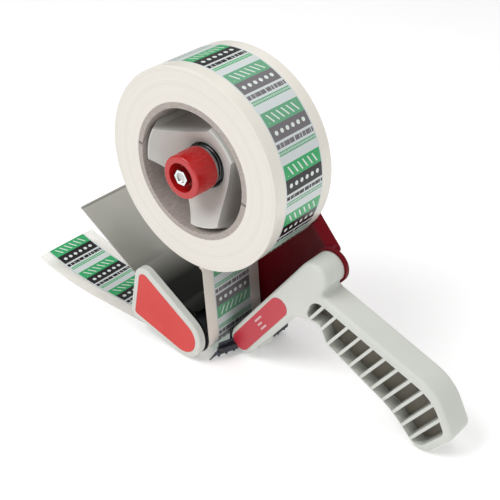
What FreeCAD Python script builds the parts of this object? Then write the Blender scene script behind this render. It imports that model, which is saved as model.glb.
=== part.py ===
import FreeCAD, Part
import math
import os

# Hand-held tape gun, standing on its press roller and the butt of its grip.
# Millimetres, +Z up, +X towards the grip, +Y along the roll's axis, the knob on the -Y side.
# Shapes are laid out about the spindle's own X, and moved at export so that the origin
# lies under the middle of the outline, on the table.
ORIGIN_X = 10.552

# Tape and its path
TAPE_W = 50.0
TAPE_T = 0.3
TAPE_GAP = 0.3
ROLL_R = 62.0
ROLL_Z = 128.0
CORE_R = 41.5
CORE_BORE = 38.0
PEEL_R = 2.6
RUN_TILT = 4.5
TAIL_FLAT_X = -96.0
TAIL_RISE_R = 190.0
TAIL_RISE = 17.0

# Press roller
ROLLER_X = -3.5
ROLLER_Z = 14.4
ROLLER_R = 13.8
ROLLER_CORE_R = 9.0
AXLE_R = 3.0
AXLE_NEAR = -30.4
ROLLER_BUSH_R = 5.0
ROLLER_BUSH_Y = ((-25.6, -17.6), (17.6, 25.6))
SCREW_R = 1.5
SCREW_HEAD_R = 2.8
SCREW_END = -24.0

# Widths along Y
SKIN_Y = 34.0
COVER_DEPTH = 5.0
PLATE_IN = 28.4
PLATE_OUT = 30.4
ROLLER_HALF = 25.6
EAR_IN = 26.2
EAR_OUT = 27.4

# Arm and grip
GRIP_HALF = 10.0
GRIP_ROUND = 2.6
FRONT = (24.5, 12.5, 9.2)
NOSE = (76.0, 80.8, 9.6)
ARM_ANGLE = math.degrees(math.atan2(NOSE[1] - FRONT[1], NOSE[0] - FRONT[0]))
WEB_HALF = 1.0
RIB_ANGLE = 54.5
RIB_PITCH = 8.67
RIB_T = 1.8
RIB_COUNT = 11
FIRST_RIB = (83.4, 64.1)

# Spindle stack
SPINDLE_R = 4.0
SPINDLE_HEAD_R = 8.0
SPINDLE_HEAD_T = 1.2
SPINDLE_HEX = 13.0
THREAD_R = 3.0
THREAD_END = -32.2
RUNNING = 0.05
KNOB_R = 13.0
KNOB_FRONT = -33.0
KNOB_BACK = -16.6
KNOB_ROUND = 1.0
KNOB_CUP_R = 8.9
KNOB_CUP_Y = -24.0
FLUTE_R = 1.75
FLUTE_OUT = 1.6
FLUTE_FRONT = -29.0
FLUTE_COUNT = 24
NUT_ACROSS = 8.4
NUT_Y = (-33.0, -20.0)
HUB_R = 37.8
HUB_FACE_R = 34.0
HUB_FLANK_R = 21.4
HUB_FRONT = -24.4
HUB_SEAT = -17.6
HUB_BACK = 11.0
HUB_WALL = 2.4
LOBE_ANGLES = (46.0, 166.0, 286.0)
LOBE_HALF = 18.5
LOBE_OVER = 3.0
LOBE_DRAW = 1.4
HUB_CROWN = 0.4
HUB_LIP = 0.6
SLEEVE_R = 8.5
DISH_R = 14.0
DISH_Y = -12.0
RECESS_Y = -6.0
BUSH_R = 6.0
SHOULDER_Y = -13.6
SPRING_R = 11.4
SPRING_WIRE_R = 0.8
SPRING_TURNS = 3
SPRING_GAP = 0.05
WASHER_R = 12.6
WASHER_Y = (-16.3, -15.2)
DISC_R = 13.2
DISC_Y = (-6.95, -6.3)
COVER_CORNERS = [(-4.0, 16.4, 15.4), (-34.5, 43.8, 8.6), (-42.3, 17.2, 6.2)]


def vec(x, z, y=0.0):
    return FreeCAD.Vector(x, y, z)


def polar(x, z, r, degrees):
    return x + r * math.cos(math.radians(degrees)), z + r * math.sin(math.radians(degrees))


def extrude(wire, y0, y1):
    face = Part.Face(wire)
    face.translate(FreeCAD.Vector(0, y0, 0))
    return face.extrude(FreeCAD.Vector(0, y1 - y0, 0))


def outline(start, *steps):
    """A closed outline in XZ. A step of one point is a line, one of two an arc through the first."""
    edges = []
    here = vec(*start)
    for step in steps:
        end = vec(*step[-1])
        if len(step) == 1:
            edges.append(Part.makeLine(here, end))
        else:
            edges.append(Part.Arc(here, vec(*step[0]), end).toShape())
        here = end
    if here.distanceToPoint(vec(*start)) > 1e-6:
        edges.append(Part.makeLine(here, vec(*start)))
    return Part.Wire(edges)


def rounded(corners):
    """A closed outline in XZ through corners (x, z, radius), each rounded by its own radius."""
    count = len(corners)
    joints = []
    for i in range(count):
        x, z, r = corners[i]
        here = vec(x, z)
        back = (vec(*corners[i - 1][:2]) - here).normalize()
        ahead = (vec(*corners[(i + 1) % count][:2]) - here).normalize()
        half = back.getAngle(ahead) / 2
        inward = (back + ahead).normalize()
        reach = r / math.tan(half)
        middle = here + inward * (r / math.sin(half) - r)
        joints.append((here + back * reach, middle, here + ahead * reach))
    edges = []
    for i in range(count):
        edges.append(Part.Arc(*joints[i]).toShape())
        edges.append(Part.makeLine(joints[i][2], joints[(i + 1) % count][0]))
    return Part.Wire(edges)


def polygon(points, y0, y1):
    ends = [vec(*p) for p in points]
    return extrude(Part.makePolygon(ends + ends[:1]), y0, y1)


def band(circles):
    """The outline of a belt round circles (x, z, r), given anticlockwise."""
    count = len(circles)
    normals = []
    for i in range(count):
        x0, z0, r0 = circles[i]
        x1, z1, r1 = circles[(i + 1) % count]
        heading = math.degrees(math.atan2(z1 - z0, x1 - x0))
        lean = math.degrees(math.acos((r0 - r1) / math.hypot(x1 - x0, z1 - z0)))
        normals.append(heading - lean)
    edges = []
    for i in range(count):
        x, z, r = circles[i]
        a0 = normals[i - 1]
        a1 = normals[i]
        while a1 < a0:
            a1 += 360
        leave = vec(*polar(x, z, r, a1))
        edges.append(Part.Arc(vec(*polar(x, z, r, a0)), vec(*polar(x, z, r, (a0 + a1) / 2)), leave).toShape())
        x1, z1, r1 = circles[(i + 1) % count]
        edges.append(Part.makeLine(leave, vec(*polar(x1, z1, r1, normals[i]))))
    return Part.Wire(edges)


def shrink(circles, by):
    return [(x, z, r - by) for x, z, r in circles]


def slab(circles, y0, y1):
    return extrude(band(circles), y0, y1)


def rod(x, z, r, y0, y1):
    return Part.makeCylinder(r, y1 - y0, vec(x, z, y0), FreeCAD.Vector(0, 1, 0))


def tube(x, z, r_out, r_in, y0, y1):
    return rod(x, z, r_out, y0, y1).cut(rod(x, z, r_in, y0 - 1, y1 + 1))


def hexagon(x, z, across, y0, y1):
    corner = across / math.sqrt(3)
    return polygon([polar(x, z, corner, 60 * i) for i in range(6)], y0, y1)


def sector(x, z, r_out, r_in, a0, a1, y0, y1):
    """Part of a tube from angle a0 to a1, anticlockwise in XZ."""
    mid = (a0 + a1) / 2
    wire = outline(
        polar(x, z, r_out, a0),
        (polar(x, z, r_out, mid), polar(x, z, r_out, a1)),
        (polar(x, z, r_in, a1),),
        (polar(x, z, r_in, mid), polar(x, z, r_in, a0)),
    )
    return extrude(wire, y0, y1)


def fuse(shapes):
    whole = shapes[0].fuse(shapes[1:])
    return whole.removeSplitter()


def on_arm(s, t):
    """A point s along the arm's top edge and t out from it."""
    x, z = polar(FRONT[0], FRONT[1], FRONT[2], ARM_ANGLE + 90)
    x, z = polar(x, z, s, ARM_ANGLE)
    return polar(x, z, t, ARM_ANGLE + 90)


def arm_box(s0, s1, t0, t1, y0, y1):
    return polygon([on_arm(s0, t0), on_arm(s1, t0), on_arm(s1, t1), on_arm(s0, t1)], y0, y1)


# ---- tape --------------------------------------------------------------------

HALF = TAPE_W / 2
WRAP_R = ROLLER_R + TAPE_GAP + TAPE_T / 2


def run_frame():
    """Where the straight run leaves the roller, its direction, and its length up to the peel."""
    tilt = math.radians(RUN_TILT)
    out = (math.cos(tilt), math.sin(tilt))
    along = (-math.sin(tilt), math.cos(tilt))
    foot = (ROLLER_X + WRAP_R * out[0], ROLLER_Z + WRAP_R * out[1])
    centre = (foot[0] - PEEL_R * out[0], foot[1] - PEEL_R * out[1] - ROLL_Z)
    reach = ROLL_R + TAPE_GAP + TAPE_T / 2 + PEEL_R
    b = centre[0] * along[0] + centre[1] * along[1]
    length = -b - math.sqrt(b * b - centre[0] ** 2 - centre[1] ** 2 + reach ** 2)
    return foot, out, along, length


def tape_run():
    foot, out, along, length = run_frame()
    h = TAPE_T / 2
    top = (foot[0] + along[0] * length, foot[1] + along[1] * length)
    corners = []
    for point, side in ((foot, h), (foot, -h), (top, -h), (top, h)):
        corners.append((point[0] + out[0] * side, point[1] + out[1] * side))
    strip = polygon(corners, -HALF, HALF)
    cx = top[0] - PEEL_R * out[0]
    cz = top[1] - PEEL_R * out[1]
    up = math.degrees(math.atan2(ROLL_Z - cz, -cx))
    peel = sector(cx, cz, PEEL_R + h, PEEL_R - h, RUN_TILT, up, -HALF, HALF)
    return fuse([strip, peel])


def tape_wrap():
    h = TAPE_T / 2
    return sector(ROLLER_X, ROLLER_Z, WRAP_R + h, WRAP_R - h, -90, RUN_TILT, -HALF, HALF)


def tape_tail():
    low = ROLLER_Z - WRAP_R - TAPE_T / 2
    flat = polygon(
        [(ROLLER_X, low), (ROLLER_X, low + TAPE_T), (TAIL_FLAT_X, low + TAPE_T), (TAIL_FLAT_X, low)], -HALF, HALF
    )
    rise = sector(
        TAIL_FLAT_X, low + TAIL_RISE_R, TAIL_RISE_R, TAIL_RISE_R - TAPE_T, -90 - TAIL_RISE, -90, -HALF, HALF
    )
    return fuse([flat, rise])


# ---- roll, hub and spindle -------------------------------------------------------

def lobed(inset, y0, y1):
    """The hub's outline: three lobes that widen outwards, joined by hollow flanks."""
    corner_r = HUB_FACE_R - inset
    flank_r = HUB_FLANK_R - inset
    outer_r = HUB_R + LOBE_OVER - LOBE_DRAW * inset
    half = LOBE_HALF - math.degrees(inset / HUB_FACE_R)
    steps = []
    for angle in LOBE_ANGLES:
        steps.append((polar(0, ROLL_Z, outer_r, angle - half),))
        steps.append((polar(0, ROLL_Z, outer_r, angle + half),))
        steps.append((polar(0, ROLL_Z, corner_r, angle + half),))
        steps.append((polar(0, ROLL_Z, flank_r, angle + 60), polar(0, ROLL_Z, corner_r, angle + 120 - half)))
    return extrude(outline(steps[-1][-1], *steps), y0, y1)


def cone(r0, r1, y0, y1):
    return Part.makeCone(r0, r1, y1 - y0, vec(0, ROLL_Z, y0), FreeCAD.Vector(0, 1, 0))


def hub():
    crown = cone(HUB_FACE_R + HUB_CROWN, HUB_R, HUB_FRONT, HUB_SEAT)
    envelope = fuse([crown, rod(0, ROLL_Z, HUB_R, HUB_SEAT, HUB_BACK)])
    body = lobed(0, HUB_FRONT, HUB_BACK).common(envelope)
    slope = (HUB_FACE_R - DISH_R) / (DISH_Y - HUB_FRONT)
    body = body.cut(cone(HUB_FACE_R - HUB_LIP + slope, DISH_R - HUB_LIP, HUB_FRONT - 1, DISH_Y))
    body = body.cut(rod(0, ROLL_Z, DISH_R, DISH_Y - 2, RECESS_Y))
    hollow = lobed(HUB_WALL, DISH_Y + HUB_WALL, HUB_BACK + 1).common(
        rod(0, ROLL_Z, HUB_R - HUB_WALL, DISH_Y, HUB_BACK + 2))
    hollow = hollow.cut(rod(0, ROLL_Z, DISH_R + HUB_WALL, DISH_Y, RECESS_Y + HUB_WALL))
    body = body.cut(hollow)
    body = fuse([body, rod(0, ROLL_Z, SLEEVE_R, RECESS_Y, EAR_OUT)])
    return body.cut(rod(0, ROLL_Z, BUSH_R, RECESS_Y - 1, EAR_OUT + 1))


def hub_bush():
    return tube(0, ROLL_Z, BUSH_R, SPINDLE_R + RUNNING, RECESS_Y, EAR_OUT)


def spindle():
    shank = rod(0, ROLL_Z, SPINDLE_R, SHOULDER_Y, PLATE_OUT)
    thread = rod(0, ROLL_Z, THREAD_R, THREAD_END, SHOULDER_Y)
    head = rod(0, ROLL_Z, SPINDLE_HEAD_R, PLATE_OUT, PLATE_OUT + SPINDLE_HEAD_T)
    hexa = hexagon(0, ROLL_Z, SPINDLE_HEX, PLATE_OUT + SPINDLE_HEAD_T, SKIN_Y)
    return fuse([shank, thread, head, hexa])


def knob():
    cup = rod(0, ROLL_Z, KNOB_R, KNOB_FRONT, KNOB_BACK)
    rim = [e for e in cup.Edges if abs(e.BoundBox.YMin - KNOB_FRONT) < 0.01 and len(e.Vertexes) == 1]
    cup = cup.makeFillet(KNOB_ROUND, rim)
    spots = [polar(0, ROLL_Z, KNOB_R + FLUTE_OUT, 360 * i / FLUTE_COUNT) for i in range(FLUTE_COUNT)]
    flutes = [rod(*spot, FLUTE_R, FLUTE_FRONT, KNOB_BACK - 1) for spot in spots]
    cup = cup.cut(flutes[0].fuse(flutes[1:]))
    cup = cup.cut(rod(0, ROLL_Z, KNOB_CUP_R, KNOB_FRONT - 1, KNOB_CUP_Y))
    cup = cup.cut(hexagon(0, ROLL_Z, NUT_ACROSS, KNOB_CUP_Y - 1, NUT_Y[1]))
    return cup.cut(rod(0, ROLL_Z, THREAD_R + RUNNING, NUT_Y[1] - 1, KNOB_BACK + 1))


def knob_nut():
    bore = rod(0, ROLL_Z, THREAD_R + RUNNING, NUT_Y[0] - 1, NUT_Y[1] + 1)
    return hexagon(0, ROLL_Z, NUT_ACROSS, *NUT_Y).cut(bore)


def tension_spring():
    back = DISC_Y[0] - SPRING_WIRE_R - SPRING_GAP
    length = back - WASHER_Y[1] - SPRING_WIRE_R - 2 * SPRING_GAP
    helix = Part.makeHelix(length / SPRING_TURNS, length, SPRING_R)
    ring = Part.Wire(Part.makeCircle(SPRING_WIRE_R, FreeCAD.Vector(SPRING_R, 0, 0), FreeCAD.Vector(0, 1, 0)))
    coil = Part.Wire(helix).makePipeShell([ring], True, True)
    coil.rotate(FreeCAD.Vector(0, 0, 0), FreeCAD.Vector(1, 0, 0), -90)
    coil.translate(vec(0, ROLL_Z, back - length))
    return coil


# ---- frame -------------------------------------------------------------------------

FLOOR_T = 1.6
FLOOR_S0 = 12.0
FLOOR_S1 = math.hypot(NOSE[0] - FRONT[0], NOSE[1] - FRONT[1])
FLOOR_NEAR = -7.0
FLOOR_TAPER = 78.2
HOOK_Y = (8.0, 10.6)
HOOK_T = 1.5
HOOK_LAP = 6.0
HOOK_END = -66.0
BOSS_R = 16.5
REAR_LOW = (64.6, 77.6, 2.6)
REAR_TOP = (48.2, 96.2, 2.6)
PLATE_CORNERS = [(ROLLER_X, ROLLER_Z, 9.5), (24.5, 25.0, 5.0), REAR_LOW, REAR_TOP, (0, ROLL_Z, BOSS_R)]
FLANGE_T = 1.8
FLANGE_NEAR = 20.4
SCREW_S = (30.0, 62.0)
SHANK_R = 2.0
SHANK_DEPTH = 13.0
HEAD_R = 3.6
HEAD_T = 1.0


def floor_plate():
    """The plate over the arm, with its rear edge askew towards the far side."""
    plan = [(FLOOR_S0, FLOOR_NEAR), (FLOOR_S1, FLOOR_NEAR), (FLOOR_S1, HOOK_Y[1])]
    plan += [(FLOOR_TAPER, PLATE_OUT), (FLOOR_S0, PLATE_OUT)]
    points = [vec(*on_arm(s, -FLOOR_T), y) for s, y in plan]
    face = Part.Face(Part.makePolygon(points + points[:1]))
    return face.extrude(vec(*on_arm(0, FLOOR_T)) - vec(*on_arm(0, 0)))


def hook():
    strap = sector(NOSE[0], NOSE[1], NOSE[2] + HOOK_T, NOSE[2], HOOK_END, ARM_ANGLE + 90, *HOOK_Y)
    return fuse([strap, arm_box(FLOOR_S1 - HOOK_LAP, FLOOR_S1, -FLOOR_T, HOOK_T, *HOOK_Y)])


def rear_flange():
    """A lip turned in from the plate's rear edge, kept clear of the roll."""
    outward = math.degrees(math.atan2(REAR_TOP[1] - REAR_LOW[1], REAR_TOP[0] - REAR_LOW[0])) - 90
    outer = [polar(x, z, r, outward) for x, z, r in (REAR_TOP, REAR_LOW)]
    inner = [polar(x, z, r - FLANGE_T, outward) for x, z, r in (REAR_LOW, REAR_TOP)]
    lip = polygon(outer + inner, FLANGE_NEAR, PLATE_OUT)
    return lip.cut(rod(0, ROLL_Z, ROLL_R + 3 * TAPE_GAP, FLANGE_NEAR - 1, HALF + TAPE_GAP))


def side_frame():
    plate = slab(PLATE_CORNERS, PLATE_IN, PLATE_OUT)
    hole = rod(0, ROLL_Z, SPINDLE_R + RUNNING, PLATE_IN - 1, PLATE_OUT + 1)
    axle_hole = rod(ROLLER_X, ROLLER_Z, AXLE_R, PLATE_IN - 1, PLATE_OUT + 1)
    body = fuse([plate, floor_plate(), rear_flange(), hook()])
    body = body.cut(hole).cut(axle_hole)
    for s in SCREW_S:
        body = body.cut(arm_rod(s, SHANK_R, -FLOOR_T - 1, 0)).cut(arm_rod(s, HEAD_R, -HEAD_T, 1))
    return body


def arm_rod(s, r, t0, t1):
    """A round bar square to the arm's top."""
    base = vec(*on_arm(s, t0))
    axis = vec(*on_arm(s, t1)) - base
    return Part.makeCylinder(r, t1 - t0, base, axis)


def handle_screws():
    screws = []
    for s in SCREW_S:
        head = arm_rod(s, HEAD_R, -HEAD_T, 0)
        screws.append(fuse([head, arm_rod(s, SHANK_R, -SHANK_DEPTH, -HEAD_T)]))
    return Part.makeCompound(screws)


# ---- grip --------------------------------------------------------------------------

GRIP_CORNERS = [
    (81.4, 72.1, 2.6), (161.0, 43.2, 30.0), (173.6, 18.8, 5.0), (154.8, -4.33, 8.6),
    (134.0, 17.1, 60.0), (87.2, 40.6, 5.0), (81.7, 51.6, 6.0), (64.2, 49.9, 12.0),
]
POCKET_CORNERS = [
    (77.6, 68.7, 7.0), (159.0, 39.1, 26.0), (168.0, 19.8, 4.0), (152.4, 0.4, 7.0),
    (134.8, 18.8, 60.0), (88.6, 42.4, 4.0), (83.0, 53.4, 4.4), (72.4, 53.4, 3.5),
]


LUG_CORNERS = [(31.0, 10.0), (37.5, 10.6), (37.8, 18.0), (33.0, 18.0)]
LUG_Y = (-7.0, 5.0)
CORNER_TRIM = 0.1
RIB_LOW = -30.0
RIB_HIGH = 40.0


def end_corners(circle, angle):
    """The two square corners round the end of a bar that finishes at circle, pointing along angle."""
    x, z, r = circle
    tip = polar(x, z, r, angle)
    return [(*polar(*tip, r, angle + turn), r - CORNER_TRIM) for turn in (-90, 90)]


def grip_blank():
    front = end_corners(FRONT, ARM_ANGLE + 180)
    nose = end_corners(NOSE, ARM_ANGLE)
    wire = rounded(front[::-1] + nose[::-1] + GRIP_CORNERS)
    blank = extrude(wire, -GRIP_HALF, GRIP_HALF)
    rims = [e for e in blank.Edges if e.BoundBox.YLength < 0.01]
    return blank.makeFillet(GRIP_ROUND, rims)


def pocket_zone(y0, y1):
    return extrude(rounded(POCKET_CORNERS), y0, y1)


def ribs(y0, y1):
    bars = []
    half = RIB_T / 2
    for i in range(RIB_COUNT):
        x, z = polar(FIRST_RIB[0], FIRST_RIB[1], i * RIB_PITCH, RIB_ANGLE - 90)
        low = polar(x, z, RIB_LOW, RIB_ANGLE)
        high = polar(x, z, RIB_HIGH, RIB_ANGLE)
        quad = [polar(*low, -half, RIB_ANGLE - 90), polar(*low, half, RIB_ANGLE - 90)]
        quad += [polar(*high, half, RIB_ANGLE - 90), polar(*high, -half, RIB_ANGLE - 90)]
        bars.append(polygon(quad, y0, y1))
    return bars[0].fuse(bars[1:])


BADGE = [(24.3, 12.3, 6.3), (52.9, 51.2, 6.3)]
BADGE_SUNK = 0.8
BADGE_PROUD = 0.3


def badge(side):
    return slab(BADGE, *sorted((side * (GRIP_HALF - BADGE_SUNK), side * (GRIP_HALF + BADGE_PROUD))))


def handle(blade_solid):
    body = grip_blank()
    for side in (-1, 1):
        y = sorted((side * WEB_HALF, side * (GRIP_HALF + 1)))
        body = body.cut(pocket_zone(*y).cut(ribs(y[0] - 1, y[1] + 1)))
        body = body.cut(badge(side))
    body = fuse([body, polygon(LUG_CORNERS, *LUG_Y)])
    body = body.cut(arm_box(FLOOR_S0, FLOOR_S1, -FLOOR_T, 1, FLOOR_NEAR, GRIP_HALF + 1)).cut(hook())
    for s in SCREW_S:
        body = body.cut(arm_rod(s, SHANK_R, -SHANK_DEPTH, 0))
    return body.cut(blade_solid)


# ---- cutting edge --------------------------------------------------------------------

BLADE_NEAR = (12.0, -26.5)
BLADE_FAR = (29.6, 26.5)
BLADE_T = 0.8
BLADE_LOW = 0.7
BLADE_TOP = 11.5
SPIKE = [(0, 0.9), (5.0, 3.2)]
SPIKE_TOP = [(7.0, 11.5), (6.0, 6.4)]
TEETH_FROM = 6.5
TOOTH_DEPTH = 3.4
TOOTH_COUNT = 9
TOOTH_LEAN = 0.55
PEG_R = 1.2
PEG_X = (14.5, 18.5)
PEG_Y = -12.0
PEG_Z = 6.6


def carrier_peg():
    """The peg of the carrier that passes through the blade."""
    base = FreeCAD.Vector(PEG_X[0], PEG_Y, PEG_Z)
    return Part.makeCylinder(PEG_R, PEG_X[1] - PEG_X[0], base, FreeCAD.Vector(1, 0, 0))


def blade():
    """A thin strip set askew, with a spike at its near end and saw teeth along its lower edge."""
    dx = BLADE_FAR[0] - BLADE_NEAR[0]
    dy = BLADE_FAR[1] - BLADE_NEAR[1]
    length = math.hypot(dx, dy)
    pitch = (length - TEETH_FROM) / TOOTH_COUNT
    profile = SPIKE_TOP + SPIKE
    for i in range(TOOTH_COUNT):
        profile.append((TEETH_FROM + i * pitch, BLADE_LOW))
        profile.append((TEETH_FROM + (i + TOOTH_LEAN) * pitch, BLADE_LOW + TOOTH_DEPTH))
    profile.append((length, BLADE_LOW + TOOTH_DEPTH / 2))
    profile.append((length, BLADE_TOP))
    near = FreeCAD.Vector(*BLADE_NEAR, 0)
    points = [near + FreeCAD.Vector(s * dx / length, s * dy / length, z) for s, z in profile]
    face = Part.Face(Part.makePolygon(points + points[:1]))
    strip = face.extrude(FreeCAD.Vector(dy / length * BLADE_T, -dx / length * BLADE_T, 0))
    return strip.cut(carrier_peg())


CARRIER_WING = [(13.9, -21.0), (17.0, -21.0), (21.5, -9.0), (17.9, -9.0)]
CARRIER_LIP = [(13.2, -14.5), (15.9, -14.5), (17.7, -9.0), (14.2, -9.0)]
CARRIER_WING_Z = (4.6, 8.6)
CARRIER_BODY = [(14.2, 4.6), (14.2, 16.0), (19.0, 16.0), (26.0, 12.0), (26.0, 5.2)]
CARRIER_BODY_NEAR = -9.5
CARRIER_HEEL = [(24.0, 4.6), (24.0, 18.0), (31.0, 18.0), (31.0, 4.6)]
CARRIER_HEEL_NEAR = 12.0


def carrier_wing(corners):
    points = [FreeCAD.Vector(x, y, CARRIER_WING_Z[0]) for x, y in corners]
    base = Part.Face(Part.makePolygon(points + points[:1]))
    return base.extrude(FreeCAD.Vector(0, 0, CARRIER_WING_Z[1] - CARRIER_WING_Z[0]))


def blade_carrier(blade_solid, handle_solid):
    """The moulding round the blade, with a low wing behind the blade's near end and a lip before it."""
    wings = [carrier_wing(CARRIER_WING), carrier_wing(CARRIER_LIP)]
    body = polygon(CARRIER_BODY, CARRIER_BODY_NEAR, PLATE_IN)
    heel = polygon(CARRIER_HEEL, CARRIER_HEEL_NEAR, PLATE_IN)
    return fuse(wings + [body, heel, carrier_peg()]).cut(handle_solid).cut(blade_solid)


# ---- roller and covers -----------------------------------------------------------------

def roller_axle():
    bar = rod(ROLLER_X, ROLLER_Z, AXLE_R, AXLE_NEAR, SKIN_Y - COVER_CAP - 2 * INLAY_GAP)
    return bar.cut(rod(ROLLER_X, ROLLER_Z, SCREW_R, AXLE_NEAR - 1, SCREW_END + 1))


COVER_CAP = 2.4
COVER_WALL = 2.0
COVER_ROUND = 1.2
COVER_BOSS_R = 6.0
PANEL_EDGE = 3.8
PANEL_DEPTH = 1.0
INLAY_GAP = 0.1
SCREW_HEAD_Y = 2.0


def cover(side):
    """A teardrop shell, open towards the roller, with a sunk panel for its coloured inlay."""
    if side < 0:
        y_skin, y_edge = -SKIN_Y, -SKIN_Y + COVER_DEPTH
    else:
        y_skin, y_edge = SKIN_Y, PLATE_OUT + INLAY_GAP
    shell = slab(COVER_CORNERS, *sorted((y_skin, y_edge)))
    rims = [e for e in shell.Edges if max(abs(e.BoundBox.YMin - y_skin), abs(e.BoundBox.YMax - y_skin)) < 0.01]
    shell = shell.makeFillet(COVER_ROUND, rims)
    under = y_skin - side * COVER_CAP
    shell = shell.cut(slab(shrink(COVER_CORNERS, COVER_WALL), *sorted((under, y_edge - side))))
    boss = sorted((y_skin - side * 2 * PANEL_DEPTH, y_edge))
    shell = fuse([shell, rod(ROLLER_X, ROLLER_Z, COVER_BOSS_R, *boss)])
    panel = sorted((y_skin - side * PANEL_DEPTH, y_skin + side))
    shell = shell.cut(slab(shrink(COVER_CORNERS, PANEL_EDGE), *panel))
    shell = shell.cut(rod(ROLLER_X, ROLLER_Z, AXLE_R, *sorted((under, y_edge - side))))
    if side < 0:
        shell = shell.cut(rod(ROLLER_X, ROLLER_Z, SCREW_HEAD_R, y_skin, y_skin + SCREW_HEAD_Y))
        shell = shell.cut(rod(ROLLER_X, ROLLER_Z, SCREW_R, y_skin, y_edge))
    return shell


def inlay(side):
    skin = side * SKIN_Y
    return slab(shrink(COVER_CORNERS, PANEL_EDGE + INLAY_GAP), *sorted((skin - side * PANEL_DEPTH, skin)))


GUARD_T = 1.0
GUARD_R = 19.5
HOOD_FROM = 72.0
HOOD_TO = 118.0
EAR_FROM = 84.0
EAR_TO = 114.0
EAR_ROOT_R = 5.5
EAR_TIP_R = 3.6
EAR_REACH = 15.5
HEM_R = 1.0
FLAP_TOP = (-98.7, 68.4)
FOLD = (-53.2, 38.8)


def guard_ear(side):
    y = sorted((side * EAR_IN, side * EAR_OUT))
    tips = [(*polar(ROLLER_X, ROLLER_Z, EAR_REACH, angle), EAR_TIP_R) for angle in (EAR_FROM, EAR_TO)]
    ear = slab([(ROLLER_X, ROLLER_Z, EAR_ROOT_R)] + tips, *y)
    return ear.cut(rod(ROLLER_X, ROLLER_Z, AXLE_R + RUNNING, y[0] - 1, y[1] + 1))


def guard():
    """A bent sheet: flap, shelf and a hood round the roller, with two ears that turn on the roller's axle."""
    heading = math.degrees(math.atan2(FLAP_TOP[1] - FOLD[1], FLAP_TOP[0] - FOLD[0])) + 90
    fold_low = polar(*FOLD, GUARD_T, heading)
    flap = polygon([FOLD, FLAP_TOP, polar(*FLAP_TOP, GUARD_T, heading), fold_low], -HALF, HALF)
    hem = rod(*polar(*FLAP_TOP, GUARD_T / 2, heading), HEM_R, -HALF, HALF)
    crown = polar(ROLLER_X, ROLLER_Z, GUARD_R, HOOD_TO)
    below = polar(ROLLER_X, ROLLER_Z, GUARD_R - GUARD_T, HOOD_TO)
    shelf = polygon([FOLD, crown, below, fold_low], -HALF, HALF)
    hood = sector(ROLLER_X, ROLLER_Z, GUARD_R, GUARD_R - GUARD_T, HOOD_FROM, HOOD_TO, -HALF, HALF)
    parts = [flap, hem, shelf, hood]
    for side in (-1, 1):
        y = sorted((side * HALF, side * EAR_OUT))
        parts.append(guard_ear(side))
        parts.append(sector(ROLLER_X, ROLLER_Z, GUARD_R, GUARD_R - GUARD_T, HOOD_FROM + 4, HOOD_TO, *y))
    return fuse(parts)


def cover_screw():
    seat = -SKIN_Y + SCREW_HEAD_Y
    head = rod(ROLLER_X, ROLLER_Z, SCREW_HEAD_R, -SKIN_Y + PANEL_DEPTH, seat)
    return fuse([head, rod(ROLLER_X, ROLLER_Z, SCREW_R, seat, SCREW_END)])


# ---- everything ----------------------------------------------------------------------

def build():
    nodes = {}
    nodes["tape_roll"] = tube(0, ROLL_Z, ROLL_R, CORE_R, -HALF, HALF)
    nodes["tape_core"] = tube(0, ROLL_Z, CORE_R, CORE_BORE, -HALF, HALF)
    nodes["tape_run"] = tape_run()
    nodes["tape_wrap"] = tape_wrap()
    nodes["tape_tail"] = tape_tail()
    nodes["hub"] = hub()
    nodes["hub_bush"] = hub_bush()
    nodes["spindle"] = spindle()
    nodes["knob"] = knob()
    nodes["knob_nut"] = knob_nut()
    nodes["pressure_washer"] = tube(0, ROLL_Z, WASHER_R, THREAD_R + RUNNING, *WASHER_Y)
    nodes["tension_spring"] = tension_spring()
    nodes["friction_disc"] = tube(0, ROLL_Z, DISC_R, SPINDLE_R, *DISC_Y)
    nodes["side_frame"] = side_frame()
    nodes["handle_screws"] = handle_screws()
    nodes["near_badge"] = badge(-1)
    nodes["far_badge"] = badge(1)
    badges = nodes["near_badge"].fuse(nodes["far_badge"])
    nodes["blade"] = blade().cut(badges)
    nodes["handle"] = handle(nodes["blade"])
    nodes["blade_carrier"] = blade_carrier(nodes["blade"], nodes["handle"]).cut(badges)
    nodes["roller_tyre"] = tube(ROLLER_X, ROLLER_Z, ROLLER_R, ROLLER_CORE_R, -ROLLER_HALF, ROLLER_HALF)
    nodes["roller_core"] = tube(ROLLER_X, ROLLER_Z, ROLLER_CORE_R, ROLLER_BUSH_R, -ROLLER_HALF, ROLLER_HALF)
    bushes = [tube(ROLLER_X, ROLLER_Z, ROLLER_BUSH_R, AXLE_R + RUNNING, *y) for y in ROLLER_BUSH_Y]
    nodes["roller_bushes"] = Part.makeCompound(bushes)
    nodes["roller_axle"] = roller_axle()
    nodes["near_cover"] = cover(-1)
    nodes["far_cover"] = cover(1)
    nodes["near_inlay"] = inlay(-1)
    nodes["far_inlay"] = inlay(1)
    nodes["cover_screw"] = cover_screw()
    nodes["guard"] = guard()
    return nodes


def main():
    os.makedirs("parts", exist_ok=True)
    for name, shape in build().items():
        shape.translate(FreeCAD.Vector(-ORIGIN_X, 0, 0))
        shape.exportStep("parts/" + name + ".step")
        box = shape.BoundBox
        print(name, shape.isValid(), len(shape.Solids), round(shape.Volume), [
            round(v, 1) for v in (box.XMin, box.YMin, box.ZMin, box.XMax, box.YMax, box.ZMax)])


main()
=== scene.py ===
import bpy
import math
from mathutils import Matrix, Vector


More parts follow.
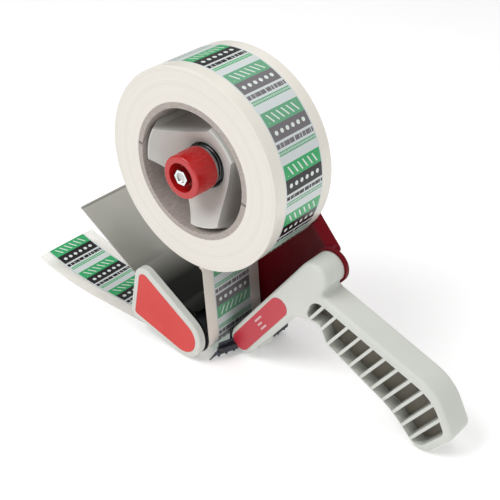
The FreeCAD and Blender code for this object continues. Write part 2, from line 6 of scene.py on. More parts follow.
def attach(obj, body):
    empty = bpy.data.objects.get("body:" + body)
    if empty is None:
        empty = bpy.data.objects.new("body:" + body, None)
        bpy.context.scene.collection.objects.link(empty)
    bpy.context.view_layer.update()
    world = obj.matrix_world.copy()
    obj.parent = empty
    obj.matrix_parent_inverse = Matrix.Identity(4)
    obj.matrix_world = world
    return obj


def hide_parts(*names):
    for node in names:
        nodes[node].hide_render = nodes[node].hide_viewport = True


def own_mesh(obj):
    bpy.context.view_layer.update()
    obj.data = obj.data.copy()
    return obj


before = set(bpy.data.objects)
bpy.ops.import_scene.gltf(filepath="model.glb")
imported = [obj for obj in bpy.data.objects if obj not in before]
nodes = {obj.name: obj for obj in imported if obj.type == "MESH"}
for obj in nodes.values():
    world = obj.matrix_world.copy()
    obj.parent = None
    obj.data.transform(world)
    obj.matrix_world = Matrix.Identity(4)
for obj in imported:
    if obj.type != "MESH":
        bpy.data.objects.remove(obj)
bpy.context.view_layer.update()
print("frame loaded")

mm = 0.001
originX = 10.552  # the frame's origin along X, in layout millimetres
rollAxis = (0.0, 128.0)  # X and Z of the spindle
rollerAxis = (-3.5, 14.4)  # X and Z of the press roller's axle


def place(x, y, z):
    return ((x - originX) * mm, y * mm, z * mm)


def polar(cx, cz, r, degrees):
    a = math.radians(degrees)
    return cx + r * math.cos(a), cz + r * math.sin(a)


# Node trees

def add(tree, kind, settings=None, **inputs):
    item = tree.nodes.new(kind)
    for key, value in (settings or {}).items():
        setattr(item, key, value)
    for key, value in inputs.items():
        wire(tree, value, item.inputs[key.replace("_", " ")])
    return item


def wire(tree, value, socket):
    if isinstance(value, bpy.types.NodeSocket):
        tree.links.new(value, socket)
    else:
        socket.default_value = value


def mathNode(tree, operation, *values):
    item = tree.nodes.new("ShaderNodeMath")
    item.operation = operation
    for socket, value in zip(item.inputs, values):
        wire(tree, value, socket)
    return item.outputs[0]


def times(tree, a, b):
    return mathNode(tree, "MULTIPLY", a, b)


def mixColor(tree, factor, a, b):
    item = tree.nodes.new("ShaderNodeMix")
    item.data_type = "RGBA"
    for index, value in ((0, factor), (6, a), (7, b)):  # the colour sockets are 6 and 7 in, 2 out
        wire(tree, value, item.inputs[index])
    return item.outputs[2]


def remap(tree, value, lo, hi, toLo=0.0, toHi=1.0):
    item = tree.nodes.new("ShaderNodeMapRange")
    for socket, number in zip(item.inputs[:5], (value, lo, hi, toLo, toHi)):
        wire(tree, number, socket)
    return item.outputs[0]


def noise(tree, vector, scale, detail):
    return add(tree, "ShaderNodeTexNoise", None, Vector=vector, Scale=scale, Detail=detail).outputs[0]


def lineNoise(tree, value, scale, detail):
    flat = {"noise_dimensions": "1D"}
    return add(tree, "ShaderNodeTexNoise", flat, W=value, Scale=scale, Detail=detail).outputs[0]


def group(name, inputs, outputs):
    tree = bpy.data.node_groups.new(name, "ShaderNodeTree")
    for label, kind, value in inputs:
        socket = tree.interface.new_socket(label, in_out="INPUT", socket_type="NodeSocket" + kind)
        socket.default_value = value
    for label in outputs:
        tree.interface.new_socket(label, in_out="OUTPUT", socket_type="NodeSocketFloat")
    return tree, tree.nodes.new("NodeGroupInput").outputs, tree.nodes.new("NodeGroupOutput").inputs


def objectCoords(tree):
    return tree.nodes.new("ShaderNodeTexCoord").outputs["Object"]


def split(tree, vector):
    return add(tree, "ShaderNodeSeparateXYZ", None, Vector=vector).outputs


def rollCoords(tree):
    # Place as seen from the roll's axis, with Y along it
    parts = split(tree, objectCoords(tree))
    x = mathNode(tree, "ADD", parts[0], originX * mm)
    z = mathNode(tree, "SUBTRACT", parts[2], rollAxis[1] * mm)
    return x, parts[1], z


grain = {"heightDetail": 2.0, "driftScale": 28.0, "driftDetail": 3.0, "speckScale": 900.0, "speckDetail": 1.0,
         "specks": (0.70, 0.78), "middle": (0.3, 0.7)}


def grainGroup():
    # Fine moulded or rolled grain as a height, and a slow drift for colour and gloss
    tree, given, out = group(
        "FineGrain",
        [("Grain Size", "Float", 0.0005), ("Stretch", "Vector", (1, 1, 1))],
        ["Height", "Drift", "Specks"],
    )
    where = objectCoords(tree)
    rate = mathNode(tree, "DIVIDE", 1.0, given["Grain Size"])
    pulled = tree.nodes.new("ShaderNodeVectorMath")
    pulled.operation = "MULTIPLY"
    tree.links.new(where, pulled.inputs[0])
    tree.links.new(given["Stretch"], pulled.inputs[1])
    tree.links.new(noise(tree, pulled.outputs[0], rate, grain["heightDetail"]), out["Height"])
    tree.links.new(noise(tree, where, grain["driftScale"], grain["driftDetail"]), out["Drift"])
    dots = noise(tree, where, grain["speckScale"], grain["speckDetail"])
    tree.links.new(remap(tree, dots, *grain["specks"]), out["Specks"])
    return tree


windings = {"fineness": 2600.0, "bandScale": 260.0, "detail": 2.0}


def ringsGroup():
    # Fine turns of wound tape, seen from the side
    tree, given, out = group("WoundTurns", [("Fineness", "Float", windings["fineness"])], ["Lines", "Bands"])
    x, _, z = rollCoords(tree)
    radius = mathNode(tree, "SQRT", mathNode(tree, "ADD", times(tree, x, x), times(tree, z, z)))
    for label, rate in (("Lines", given["Fineness"]), ("Bands", windings["bandScale"])):
        tree.links.new(lineNoise(tree, radius, rate, windings["detail"]), out[label])
    return tree


labels = {  # millimetres along and across the strip
    "pitch": 30.0, "panelHalf": 16.5, "blockHalf": 15.6, "strongEvery": 3.0,
    "bar": (4.6, 7.1), "line": (8.5, 11.2), "lower": (12.6, 21.0), "upper": (21.0, 29.4),
    "dashScale": 0.9, "dashDetail": 3.0, "dashCut": 0.43,
    "strokes": (22.6, 27.8), "strokesHalf": 13.0, "strokeLean": 0.6, "strokePitch": 4.2, "strokeWidth": 1.1,
    "dotPitch": 4.6, "dotsAt": 16.8, "dotsHalf": 13.8, "dotRadiusSquared": 1.7,
    "ticks": (5.3, 6.4), "tickRate": 5.2, "tickCut": 0.1,
}


def bandMask(tree, value, lo, hi):
    return times(tree, mathNode(tree, "GREATER_THAN", value, lo), mathNode(tree, "LESS_THAN", value, hi))


def middleMask(tree, across, key):
    return bandMask(tree, across, -labels[key], labels[key])


def strokeMask(tree, along, across):
    # Slanted strokes in the upper block
    slant = mathNode(tree, "ADD", across, times(tree, along, labels["strokeLean"]))
    turn = mathNode(tree, "FLOORED_MODULO", slant, labels["strokePitch"])
    stroke = mathNode(tree, "LESS_THAN", turn, labels["strokeWidth"])
    stroke = times(tree, stroke, bandMask(tree, along, *labels["strokes"]))
    return times(tree, stroke, middleMask(tree, across, "strokesHalf"))


def dotMask(tree, along, across):
    # A row of dots in the lower block
    turn = mathNode(tree, "FLOORED_MODULO", across, labels["dotPitch"])
    sideways = mathNode(tree, "SUBTRACT", turn, labels["dotPitch"] / 2)
    upwards = mathNode(tree, "SUBTRACT", along, labels["dotsAt"])
    spread = mathNode(tree, "ADD", times(tree, sideways, sideways), times(tree, upwards, upwards))
    dots = mathNode(tree, "LESS_THAN", spread, labels["dotRadiusSquared"])
    return times(tree, dots, middleMask(tree, across, "dotsHalf"))


def tickMask(tree, along, across, block):
    # Short ticks in the thin bar
    wave = mathNode(tree, "SINE", times(tree, across, labels["tickRate"]))
    ticks = mathNode(tree, "GREATER_THAN", wave, labels["tickCut"])
    return times(tree, ticks, times(tree, bandMask(tree, along, *labels["ticks"]), block))


def labelGroup():
    # Printed labels: two blocks, a broken line and a thin bar
    tree, given, out = group(
        "LabelPrint",
        [("Along", "Float", 0.0), ("Across", "Float", 0.0)],
        ["Green", "Dark", "Light", "Panel", "Faded"],
    )
    across = given["Across"]
    along = mathNode(tree, "FLOORED_MODULO", given["Along"], labels["pitch"])
    block = middleMask(tree, across, "blockHalf")
    band = {}
    for key in ("bar", "line", "lower", "upper"):
        band[key] = times(tree, bandMask(tree, along, *labels[key]), block)
    dash = lineNoise(tree, across, labels["dashScale"], labels["dashDetail"])
    line = times(tree, band["line"], mathNode(tree, "GREATER_THAN", dash, labels["dashCut"]))
    light = mathNode(tree, "MAXIMUM", strokeMask(tree, along, across), dotMask(tree, along, across))
    index = mathNode(tree, "FLOOR", mathNode(tree, "DIVIDE", given["Along"], labels["pitch"]))
    turn = mathNode(tree, "FLOORED_MODULO", index, labels["strongEvery"])
    tree.links.new(mathNode(tree, "MAXIMUM", band["bar"], band["upper"]), out["Green"])
    tree.links.new(mathNode(tree, "MAXIMUM", band["lower"], line), out["Dark"])
    tree.links.new(mathNode(tree, "MAXIMUM", light, tickMask(tree, along, across, block)), out["Light"])
    tree.links.new(middleMask(tree, across, "panelHalf"), out["Panel"])
    tree.links.new(mathNode(tree, "GREATER_THAN", turn, 0.5), out["Faded"])  # all labels but the strong ones
    return tree


grainTree = grainGroup()
ringsTree = ringsGroup()
labelTree = labelGroup()


# Materials

def use(tree, shared, **inputs):
    item = tree.nodes.new("ShaderNodeGroup")
    item.node_tree = shared
    for key, value in inputs.items():
        wire(tree, value, item.inputs[key.replace("_", " ")])
    return item.outputs


def blankMaterial(name):
    material = bpy.data.materials.new(name)
    material.use_nodes = True
    return material, material.node_tree, material.node_tree.nodes["Principled BSDF"]


def bump(tree, height, strength, distance):
    return add(tree, "ShaderNodeBump", None, Height=height, Strength=strength, Distance=distance).outputs[0]


surface = {"depth": 0.0001, "gloss": 0.12, "dustKeep": 0.6, "dustLift": 0.22,
           # the black below is painted shade, used for the darkening along X
           "paintedShadeBlack": (0.004, 0.004, 0.004, 1)}


def plainColor(tree, fine, color, drift, specks):
    # The colour with a slow drift and a few pale specks
    full = (*color, 1.0)
    darker = (*(c * (1 - 2 * drift) for c in color), 1.0)
    dusty = (*(c * surface["dustKeep"] + surface["dustLift"] for c in color), 1.0)
    base = mixColor(tree, remap(tree, fine["Drift"], *grain["middle"]), full, darker)
    return mixColor(tree, times(tree, fine["Specks"], specks), base, dusty)


def finishMaterial(name, color, roughness, metallic=0.0, coat=0.0, size=0.0004, relief=0.15, drift=0.12,
                   stretch=(1, 1, 1), specks=0.25, paintedShade=None, specular=0.5):
    material, tree, shader = blankMaterial(name)
    fine = use(tree, grainTree, Grain_Size=size, Stretch=stretch)
    base = plainColor(tree, fine, color, drift, specks)
    # painted shade: the colour is darkened towards black along X
    if paintedShade is not None:
        start, end, shadeDepth = paintedShade
        along = split(tree, objectCoords(tree))[0]
        share = remap(tree, along, (start - originX) * mm, (end - originX) * mm, 0.0, shadeDepth)
        base = mixColor(tree, share, base, surface["paintedShadeBlack"])
    gloss = remap(tree, fine["Drift"], *grain["middle"], roughness, roughness + surface["gloss"])
    tree.links.new(base, shader.inputs["Base Color"])
    tree.links.new(gloss, shader.inputs["Roughness"])
    tree.links.new(bump(tree, fine["Height"], relief, surface["depth"]), shader.inputs["Normal"])
    shader.inputs["Metallic"].default_value = metallic
    shader.inputs["Coat Weight"].default_value = coat
    shader.inputs["Specular IOR Level"].default_value = specular
    return material


film = {
    "side": ((0.80, 0.77, 0.71, 1), (0.68, 0.645, 0.58, 1)), "sideBand": (0.60, 0.57, 0.51, 1),
    "bands": (0.45, 0.75), "bandShare": 0.18,
    "clear": ((0.80, 0.77, 0.70, 1), (0.74, 0.71, 0.64, 1)), "panel": (0.62, 0.66, 0.66, 1),
    "green": ((0.035, 0.37, 0.13, 1), (0.14, 0.37, 0.22, 1)),  # strong and faded
    "dark": ((0.012, 0.010, 0.012, 1), (0.17, 0.16, 0.17, 1)), "light": (0.70, 0.76, 0.72, 1),
    "roughness": (0.62, 0.24), "grain": 0.002, "grainShare": 0.25, "relief": 0.35, "depth": 0.0002,
    "fadeOver": (-0.03, -0.02), "clearOver": (-0.035, -0.025),  # metres along X, on the loose strip
    "margin": 0.35,  # how much of the clear margin shows there
}


def filmSide(tree, turns):
    side = mixColor(tree, remap(tree, turns["Lines"], *grain["middle"]), *film["side"])
    share = remap(tree, turns["Bands"], *film["bands"], 0.0, film["bandShare"])
    return mixColor(tree, share, side, film["sideBand"])


def filmPrint(tree, fine, label, weak):
    clear = mixColor(tree, remap(tree, fine["Drift"], *grain["middle"]), *film["clear"])
    ink = mixColor(tree, label["Panel"], clear, film["panel"])
    ink = mixColor(tree, label["Green"], ink, mixColor(tree, weak, *film["green"]))
    ink = mixColor(tree, label["Dark"], ink, mixColor(tree, weak, *film["dark"]))
    inked = mathNode(tree, "MAXIMUM", label["Green"], label["Dark"])
    return mixColor(tree, times(tree, label["Light"], inked), ink, film["light"])


def filmMaterial(name, loose):
    # The wound film, or the loose strip, whose margins are clear along its tail
    material, tree, shader = blankMaterial(name)
    uv = add(tree, "ShaderNodeUVMap", {"uv_map": "strip"}).outputs[0]
    along, across = split(tree, uv)[:2]
    label = use(tree, labelTree, Along=along, Across=across)
    printed = add(tree, "ShaderNodeAttribute", {"attribute_name": "printed"}).outputs["Fac"]
    turns = use(tree, ringsTree)
    fine = use(tree, grainTree, Grain_Size=film["grain"])
    weak = label["Faded"]
    if loose:
        forward = split(tree, objectCoords(tree))[0]
        weak = remap(tree, forward, *film["fadeOver"])
        margin = remap(tree, forward, *film["clearOver"], film["margin"], 1.0)
        tree.links.new(mathNode(tree, "MAXIMUM", margin, label["Panel"]), shader.inputs["Alpha"])
    color = mixColor(tree, printed, filmSide(tree, turns), filmPrint(tree, fine, label, weak))
    tree.links.new(color, shader.inputs["Base Color"])
    tree.links.new(remap(tree, printed, 0.0, 1.0, *film["roughness"]), shader.inputs["Roughness"])
    relief = times(tree, turns["Lines"], mathNode(tree, "SUBTRACT", 1.0, printed))
    relief = mathNode(tree, "MULTIPLY_ADD", fine["Height"], film["grainShare"], relief)
    tree.links.new(bump(tree, relief, film["relief"], film["depth"]), shader.inputs["Normal"])
    return material


board = {"grain": 0.0009, "stretch": (1, 0.2, 1), "colors": ((0.44, 0.39, 0.36, 1), (0.33, 0.29, 0.265, 1)),
         "seam": (0.09, 0.07, 0.06, 1), "seamShare": 0.75, "seamHalf": 0.006, "seams": 2.0,
         "turnsPerMetre": 9.0, "roughness": 0.85, "relief": 0.3, "depth": 0.0002}


def seamMask(tree):
    # Where one turn of the spiral-wound board meets the next
    x, y, z = rollCoords(tree)
    around = mathNode(tree, "DIVIDE", mathNode(tree, "ARCTAN2", z, x), 2 * math.pi)
    turn = mathNode(tree, "ADD", around, times(tree, y, board["turnsPerMetre"]))
    part = mathNode(tree, "FRACT", times(tree, turn, board["seams"]))
    away = mathNode(tree, "ABSOLUTE", mathNode(tree, "SUBTRACT", part, 0.5))
    return mathNode(tree, "LESS_THAN", away, board["seamHalf"])


def boardMaterial():
    material, tree, shader = blankMaterial("coreBoard")
    fine = use(tree, grainTree, Grain_Size=board["grain"], Stretch=board["stretch"])
    base = mixColor(tree, remap(tree, fine["Height"], *grain["middle"]), *board["colors"])
    base = mixColor(tree, times(tree, seamMask(tree), board["seamShare"]), base, board["seam"])
    tree.links.new(base, shader.inputs["Base Color"])
    tree.links.new(bump(tree, fine["Height"], board["relief"], board["depth"]), shader.inputs["Normal"])
    shader.inputs["Roughness"].default_value = board["roughness"]
    return material


tapeFilm = filmMaterial("tapeFilm", False)
stripFilm = filmMaterial("stripFilm", True)
coreBoard = boardMaterial()
finishes = {
    "hubPlastic": dict(color=(0.60, 0.60, 0.56), roughness=0.42, relief=0.10),
    "bodyPlastic": dict(color=(0.60, 0.615, 0.57), roughness=0.40, relief=0.12, drift=0.03),
    # painted shade: the web in the pockets between the grip's ribs, coloured darker where shade falls
    "webPaintedShade": dict(color=(0.24, 0.215, 0.175), roughness=0.55, relief=0.2, drift=0.05),
    "bushPlastic": dict(color=(0.62, 0.62, 0.58), roughness=0.35),
    "zincSteel": dict(color=(0.60, 0.60, 0.58), roughness=0.28, metallic=1.0, stretch=(1, 6, 1)),
    "nutChrome": dict(color=(0.80, 0.84, 0.84), roughness=0.12, metallic=1.0, relief=0.05),
    "springSteel": dict(color=(0.16, 0.16, 0.17), roughness=0.22, metallic=1.0, relief=0.05),
    "knobRed": dict(color=(0.50, 0.008, 0.009), roughness=0.20, coat=0.25, relief=0.06, drift=0.06),
    "discFibre": dict(color=(0.06, 0.05, 0.045), roughness=0.8, relief=0.5),
    "frameRed": dict(color=(0.17, 0.002, 0.008), roughness=0.34, coat=0.04, relief=0.10, drift=0.10,
                     size=0.0012, specular=0.12),
    "bladeSteel": dict(color=(0.10, 0.11, 0.14), roughness=0.32, metallic=0.9, stretch=(1, 1, 6)),
    "carrierBlack": dict(color=(0.012, 0.014, 0.022), roughness=0.35, relief=0.2),
    "badgeRed": dict(color=(0.50, 0.022, 0.042), roughness=0.32, coat=0.2, relief=0.05, drift=0.03),
    "inlayRed": dict(color=(0.64, 0.042, 0.036), roughness=0.5, relief=0.25, size=0.0008, drift=0.04),
    "rollerRubber": dict(color=(0.012, 0.012, 0.016), roughness=0.45, relief=0.3, size=0.0006),
    "rollerPlastic": dict(color=(0.04, 0.04, 0.045), roughness=0.4),
    "guardSteelPaintedShade": dict(color=(0.42, 0.41, 0.37), roughness=0.36, metallic=0.75, stretch=(8, 0.35, 8),
                       size=0.0012, relief=0.22, drift=0.05, paintedShade=(-58.0, -30.0, 0.95)),  # painted shade, darkening to near black at the roller under the roll
    "markLight": dict(color=(0.78, 0.55, 0.56), roughness=0.4, relief=0.03),
    "studioFloor": dict(color=(0.92, 0.92, 0.92), roughness=0.7, relief=0.02, drift=0.0, specks=0.0),
}
materials = {name: finishMaterial(name, **values) for name, values in finishes.items()}
carried = {
    "hub": "hubPlastic", "hub_bush": "bushPlastic", "spindle": "zincSteel", "knob": "knobRed",
    "knob_nut": "nutChrome", "pressure_washer": "zincSteel", "friction_disc": "discFibre",
    "side_frame": "frameRed", "handle_screws": "zincSteel", "blade": "bladeSteel", "handle": "bodyPlastic",
    "blade_carrier": "carrierBlack", "near_badge": "badgeRed", "far_badge": "badgeRed",
    "roller_tyre": "rollerRubber", "roller_core": "rollerPlastic",
    "roller_bushes": "bushPlastic", "roller_axle": "zincSteel", "near_cover": "bodyPlastic",
    "far_cover": "bodyPlastic", "near_inlay": "inlayRed", "far_inlay": "inlayRed", "cover_screw": "zincSteel",
    "guard": "guardSteelPaintedShade",
}
for name, finish in carried.items():
    nodes[name].data.materials.clear()
    nodes[name].data.materials.append(materials[finish])
print("materials made")


# Meshes

def newObject(name, data):
    made = bpy.data.objects.new(name, data)
    bpy.context.scene.collection.objects.link(made)
    return made


def mount(name, mesh, body, replaces, smooth):
    # Shades the mesh smooth up to its sharp edges and puts it on its body
    mesh.polygons.foreach_set("use_smooth", [True] * len(mesh.polygons))
    mesh.set_sharp_from_angle(angle=math.radians(smooth))
    made = newObject(name, mesh)
    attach(made, body)
    if replaces:
        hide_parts(*replaces)
    return made


def piece(name, verts, faces, material, body, replaces=(), uvs=None, printed=None, smooth=35):
    mesh = bpy.data.meshes.new(name)
    mesh.from_pydata([place(*v) for v in verts], [], faces)
    mesh.materials.append(material)
    if uvs is not None:
        layer = mesh.uv_layers.new(name="strip")
        for corner, uv in enumerate(uv for face in uvs for uv in face):
            layer.data[corner].uv = uv
    if printed is not None:
        flags = mesh.attributes.new("printed", "FLOAT", "FACE")
        flags.data.foreach_set("value", printed)
    mesh.validate()
    return mount(name, mesh, body, replaces, smooth)


# Tape roll

roll = {"inner": 41.52, "outer": 61.97, "half": 24.98, "round": 0.5, "segments": 240,
        "tread": 3, "phase": 9.0}  # the row of the profile that carries the print, and where the print starts
core = {"inner": 38.02, "outer": 41.48, "half": 24.98, "segments": 160, "tread": None, "phase": 0.0}


def ringPiece(name, profile, sizes, material, replaces):
    # A closed profile (r, y) turned about the roll's axis
    count, segments, phase = len(profile), sizes["segments"], sizes["phase"]
    verts = []
    for i in range(segments):
        for r, y in profile:
            x, z = polar(*rollAxis, r, 360 * i / segments)
            verts.append((x, y, z))
    faces, uvs, printed = [], [], []
    for i in range(segments):
        j = (i + 1) % segments
        for k in range(count):
            m = (k + 1) % count
            faces.append((i * count + k, i * count + m, j * count + m, j * count + k))
            u0, u1 = (math.radians(360 * t / segments) * profile[k][0] + phase for t in (i, i + 1))
            v0, v1 = profile[k][1], profile[m][1]
            uvs.append([(u0, v0), (u0, v1), (u1, v1), (u1, v0)])
            printed.append(1.0 if k == sizes["tread"] else 0.0)
    return piece(name, verts, faces, material, "roll", replaces, uvs, printed)


def rollProfile():
    lo, hi, half, edge = roll["inner"], roll["outer"], roll["half"], roll["round"]
    outside = [(hi - edge, half), (hi, half - edge), (hi, -half + edge), (hi - edge, -half)]
    return [(lo, -half), (lo, half)] + outside


def coreProfile():
    lo, hi, half = core["inner"], core["outer"], core["half"]
    return [(lo, -half), (lo, half), (hi, half), (hi, -half)]


ringPiece("tapeRoll", rollProfile(), roll, tapeFilm, ("tape_roll",))
ringPiece("tapeCore", coreProfile(), core, coreBoard, ("tape_core",))
print("roll made")


# Strip of tape

strip = {
    "half": 24.97, "thick": 0.16, "across": 12,
    "lead": 62.0 + 0.45, "roller": 13.8 + 0.45, "peel": 2.6, "tilt": 4.5,  # three radii and the run's lean
    "flat": -96.0, "riseR": 190.0 - 0.15, "rise": 17.0,  # where the tail leaves the table, and its bend
    "runPhase": 17.4, "endPhase": 29.4, "runFrom": 1.0,
    "steps": {"peel": 8, "run": 14, "wrap": 24, "flat": 12, "rise": 20},
}
offPrint = 40.0  # across the strip, past the print


def stripPath():
    # Centre line in XZ, from the peel down to the roller, round it and out along the tail
    tilt = math.radians(strip["tilt"])
    out = Vector((math.cos(tilt), math.sin(tilt)))
    along = Vector((-math.sin(tilt), math.cos(tilt)))
    axis = Vector(rollerAxis)
    foot = axis + out * strip["roller"]
    centre = foot - out * strip["peel"] - Vector(rollAxis)
    b = centre.dot(along)
    reach = strip["lead"] + strip["peel"]
    top = foot + along * (-b - math.sqrt(b * b - centre.length_squared + reach * reach))
    pivot = top - out * strip["peel"]
    up = math.degrees(math.atan2(rollAxis[1] - pivot.y, -pivot.x))
    low = axis.y - strip["roller"]
    peel, run, wrap, flat, rise = strip["steps"].values()
    points = [Vector(polar(*pivot, strip["peel"], up + (strip["tilt"] - up) * i / peel)) for i in range(peel)]
    points += [top + (foot - top) * (i / run) for i in range(run)]
    angles = [strip["tilt"] - (90 + strip["tilt"]) * i / wrap for i in range(wrap)]
    points += [Vector(polar(*axis, strip["roller"], angle)) for angle in angles]
    points += [Vector((axis.x + (strip["flat"] - axis.x) * i / flat, low)) for i in range(flat)]
    bend = (strip["flat"], low + strip["riseR"])
    points += [Vector(polar(*bend, strip["riseR"], -90 - strip["rise"] * i / rise)) for i in range(rise + 1)]
    return points


def stripVerts(points, ys):
    # Each cross-section is a row of the outer face, then a row of the inner face
    verts = []
    for i, p in enumerate(points):
        t = (points[min(i + 1, len(points) - 1)] - points[max(i - 1, 0)]).normalized()
        normal = Vector((-t.y, t.x))
        for side in (1, -1):
            q = p + normal * (strip["thick"] / 2 * side)
            verts += [(q.x, y, q.y) for y in ys]
    return verts


def stripSpans(points, ys):
    # Faces and print places of both sides and both edges, one span after another
    lengths = [0.0]
    for a, b in zip(points, points[1:]):
        lengths.append(lengths[-1] + (b - a).length)
    n = strip["across"]
    step = 2 * (n + 1)
    faces, uvs = [], []
    for i in range(len(points) - 1):
        onRun = points[i].x > rollerAxis[0] + strip["runFrom"]
        phase = strip["runPhase"] if onRun else strip["endPhase"] - lengths[-1]
        u0, u1 = lengths[i] + phase, lengths[i + 1] + phase
        for k in range(n):
            a, b = i * step + k, (i + 1) * step + k
            c, d = a + n + 1, b + n + 1
            v0, v1 = ys[k], ys[k + 1]
            faces += [(a, b, b + 1, a + 1), (c, c + 1, d + 1, d)]
            uvs += [[(u0, v0), (u1, v0), (u1, v1), (u0, v1)], [(u0, v0), (u0, v1), (u1, v1), (u1, v0)]]
        for k in (0, n):
            a, b = i * step + k, (i + 1) * step + k
            c, d = a + n + 1, b + n + 1
            faces.append((a, c, d, b) if k == 0 else (a, b, d, c))
            uvs.append([(u0, offPrint)] * 4)
    return faces, uvs


def stripEnds(last):
    n = strip["across"]
    faces = []
    for i in (0, last):
        for k in range(n):
            a = i * 2 * (n + 1) + k
            c = a + n + 1
            faces.append((a, a + 1, c + 1, c) if i == 0 else (a, c, c + 1, a + 1))
    return faces


def stripPiece():
    points = stripPath()
    ys = [-strip["half"] + 2 * strip["half"] * k / strip["across"] for k in range(strip["across"] + 1)]
    faces, uvs = stripSpans(points, ys)
    ends = stripEnds(len(points) - 1)
    faces += ends
    uvs += [[(0.0, offPrint)] * 4] * len(ends)
    return piece("tapeStrip", stripVerts(points, ys), faces, stripFilm, "frame",
                 ("tape_run", "tape_wrap", "tape_tail"), uvs, [1.0] * len(faces))


stripPiece()
print("strip made")


# Pieces grown by node trees

def geometryGroup(name, inputs):
    tree = bpy.data.node_groups.new(name, "GeometryNodeTree")
    sockets = {}
    for label in inputs:
        sockets[label] = tree.interface.new_socket(label, in_out="INPUT", socket_type="NodeSocketFloat")
    tree.interface.new_socket("Geometry", in_out="OUTPUT", socket_type="NodeSocketGeometry")
    given = tree.nodes.new("NodeGroupInput").outputs
    return tree, sockets, given, tree.nodes.new("NodeGroupOutput").inputs


def closeTree(tree, geometry, turn, y, material, out):
    # Turns the geometry and sets it on the roll's axis at y, then ends the tree
    moved = add(tree, "GeometryNodeTransform", None, Geometry=geometry, Rotation=turn,
                Translation=place(rollAxis[0], y, rollAxis[1])).outputs[0]
    whole = add(tree, "GeometryNodeRealizeInstances", None, Geometry=moved).outputs[0]
    ended = add(tree, "GeometryNodeSetMaterial", None, Geometry=whole, Material=material)
    tree.links.new(ended.outputs[0], out[0])


def grown(name, tree, sockets, sizes, body, slot, replaces=()):
    # Evaluates the tree once and keeps the result as a plain mesh
    holder = newObject(name + "Grower", bpy.data.meshes.new(name + "Grower"))
    modifier = holder.modifiers.new("grow", "NODES")
    modifier.node_group = tree
    for label, value in sizes.items():
        modifier[sockets[label].identifier] = value
    ready = holder.evaluated_get(bpy.context.evaluated_depsgraph_get())
    mesh = bpy.data.meshes.new_from_object(ready)
    bpy.data.objects.remove(holder)
    mesh.name = name
    return mount(name, mesh, body, replaces, 60)


# Brake spring

spring = {"sizes": {"Radius": 11.4 * mm, "Wire": 0.78 * mm, "Length": 6.5 * mm, "Turns": 3.0},
          "front": -14.3, "steps": 48, "sides": 12}


def coilTree(material):
    # A helix of wire about the roll's axis. Sizes in metres
    tree, sockets, given, out = geometryGroup("Coil", spring["sizes"])
    path = add(tree, "GeometryNodeCurveSpiral", None, Resolution=spring["steps"], Rotations=given["Turns"],
               Height=given["Length"], Start_Radius=given["Radius"], End_Radius=given["Radius"])
    ring = add(tree, "GeometryNodeCurvePrimitiveCircle", {"mode": "RADIUS"}, Resolution=spring["sides"],
               Radius=given["Wire"])
    wound = add(tree, "GeometryNodeCurveToMesh", None, Curve=path.outputs[0], Profile_Curve=ring.outputs[0],
                Fill_Caps=True)
    closeTree(tree, wound.outputs[0], (-math.pi / 2, 0.0, 0.0), spring["front"], material, out)
    return tree, sockets


brakeSpring = grown("brakeSpring", *coilTree(materials["springSteel"]), spring["sizes"], "frame",
                    "spring_steel", ("tension_spring",))
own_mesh(brakeSpring)
print("spring made")


# Web between the grip's ribs, with painted shade: a darker brown than the rim, standing in for the shade in
# the pockets

web = {"half": 1.04, "outline": [(77.6, 68.7), (159.0, 39.1), (168.0, 19.8), (152.4, 0.4), (134.8, 18.8),
                                 (88.6, 42.4), (83.0, 53.4), (72.4, 53.4)]}


def paintedShadeWebPiece():
    # a darker prism laid on the web, painted shade for the pockets
    corners = web["outline"]
    count = len(corners)
    verts = [(x, y, z) for y in (-web["half"], web["half"]) for x, z in corners]
    faces = [tuple(range(count))[::-1], tuple(range(count, 2 * count))]
    for i in range(count):
        j = (i + 1) % count
        faces.append((i, j, count + j, count + i))
    return piece("gripWebPaintedShade", verts, faces, materials["webPaintedShade"], "frame", (), smooth=10)


paintedShadeWebPiece()
print("web made")


# Ridges between the flutes of the knob's skirt

ridge = {"sizes": {"Radius": 12.72 * mm, "Thickness": 0.42 * mm, "Length": 9.0 * mm, "Count": 24.0},
         "middle": -23.3, "sides": 12}


def ridgeTree(material):
    # Slim rounded bars set evenly about the knob's axis. Sizes in metres
    tree, sockets, given, out = geometryGroup("RimRidges", ridge["sizes"])
    bar = add(tree, "GeometryNodeMeshCylinder", None, Vertices=ridge["sides"], Radius=given["Thickness"],
              Depth=given["Length"])
    spots = add(tree, "GeometryNodeMeshCircle", None, Vertices=given["Count"], Radius=given["Radius"])
    placed = add(tree, "GeometryNodeInstanceOnPoints", None, Points=spots.outputs[0], Instance=bar.outputs[0])
    halfStep = Matrix.Rotation(math.radians(180 / ridge["sizes"]["Count"]), 4, "Y")
    turn = (halfStep @ Matrix.Rotation(-math.pi / 2, 4, "X")).to_euler()
    closeTree(tree, placed.outputs[0], tuple(turn), ridge["middle"], material, out)
    return tree, sockets


grown("knobRidges", *ridgeTree(materials["knobRed"]), ridge["sizes"], "knob", "knob_red")
print("knob ridges made")


# Marks on the arm's badges

mark = {"centre": (40.2, 34.0), "angle": 53.0, "gap": 3.0, "width": 1.1, "bars": (7.6, 4.6, 6.2),
        "badgeFace": 10.3, "proud": 0.04, "sunk": 0.1}


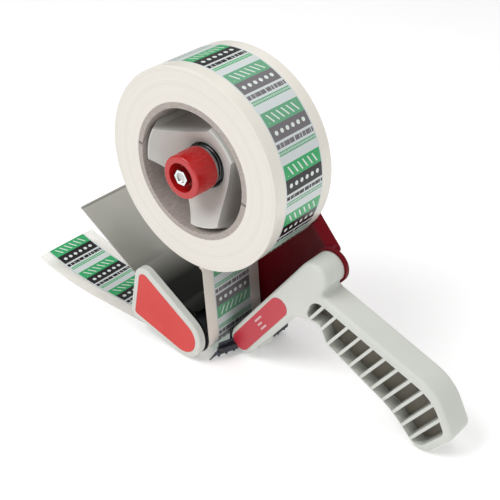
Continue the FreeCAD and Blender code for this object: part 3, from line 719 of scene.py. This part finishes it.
def markPiece(name, side):
    # Three plain bars laid in the badge
    turn = math.radians(mark["angle"])
    left = -mark["bars"][0] / 2
    levels = (side * (mark["badgeFace"] + mark["proud"]), side * (mark["badgeFace"] - mark["sunk"]))
    quads = [(0, 1, 2, 3), (7, 6, 5, 4), (0, 4, 5, 1), (1, 5, 6, 2), (2, 6, 7, 3), (3, 7, 4, 0)]
    verts, faces = [], []
    for i, long in enumerate(mark["bars"]):
        middle = mark["gap"] * (1 - i)
        v0, v1 = middle - mark["width"] / 2, middle + mark["width"] / 2
        start = len(verts)
        for y in levels:
            for u, v in ((left, v0), (left + long, v0), (left + long, v1), (left, v1)):
                x = mark["centre"][0] + u * math.cos(turn) - v * math.sin(turn)
                z = mark["centre"][1] + u * math.sin(turn) + v * math.cos(turn)
                verts.append((x, y, z))
        for quad in quads:
            corners = tuple(start + k for k in quad)
            faces.append(corners if side < 0 else corners[::-1])
    return piece(name, verts, faces, materials["markLight"], "frame", (), smooth=20)


markPiece("nearMark", -1)
markPiece("farMark", 1)
print("marks made")


# Studio

studio = {"floorHalf": 4000, "floorZ": -0.4, "floorGlow": 0.22, "world": 0.32, "aim": (0.0, 0.0, 0.08)}
lights = {  # place in metres, width, watts
    "keyLight": ((-0.5, -0.9, 1.3), 0.9, 15.0),
    "fillLight": ((1.3, -0.5, 0.7), 0.9, 5.0),
    "topLight": ((0.1, 0.3, 1.5), 1.2, 8.0),
}
camera = {"eye": (346.7, -384.0, 394.0), "right": (0.764, 0.645, 0.0), "forward": (-0.544, 0.645, -0.538),
          "lens": 72.0, "sensor": 36.0}


def studioFloor():
    half, z = studio["floorHalf"], studio["floorZ"]
    mesh = bpy.data.meshes.new("studioFloor")
    corners = ((-half, -half), (half, -half), (half, half), (-half, half))
    mesh.from_pydata([place(x, y, z) for x, y in corners], [], [(0, 1, 2, 3)])
    mesh.materials.append(materials["studioFloor"])
    shader = materials["studioFloor"].node_tree.nodes["Principled BSDF"]
    shader.inputs["Emission Color"].default_value = (1.0, 1.0, 1.0, 1.0)
    shader.inputs["Emission Strength"].default_value = studio["floorGlow"]
    made = newObject("studioFloor", mesh)


def areaLight(name, position, size, power):
    data = bpy.data.lights.new(name, "AREA")
    data.shape = "SQUARE"
    data.size = size
    data.energy = power
    made = newObject(name, data)
    made.location = position
    aim = Vector(studio["aim"]) - Vector(position)
    made.rotation_euler = aim.to_track_quat("-Z", "Y").to_euler()


def studioCamera():
    right = Vector(camera["right"]).normalized()
    forward = Vector(camera["forward"]).normalized()
    up = right.cross(forward).normalized()
    right = forward.cross(up)
    data = bpy.data.cameras.new("studioCamera")
    data.lens = camera["lens"]
    data.sensor_width = camera["sensor"]
    made = newObject("studioCamera", data)
    turn = Matrix((right, up, -forward)).transposed()
    made.matrix_world = Matrix.Translation(place(*camera["eye"])) @ turn.to_4x4()
    bpy.context.scene.camera = made


def studioWorld():
    world = bpy.data.worlds.new("studioWorld")
    world.use_nodes = True
    backdrop = world.node_tree.nodes["Background"]
    backdrop.inputs["Color"].default_value = (1, 1, 1, 1)
    backdrop.inputs["Strength"].default_value = studio["world"]
    bpy.context.scene.world = world
    bpy.context.scene.view_settings.view_transform = "Standard"


studioFloor()
for name, values in lights.items():
    areaLight(name, *values)
studioCamera()
studioWorld()
print("studio made")
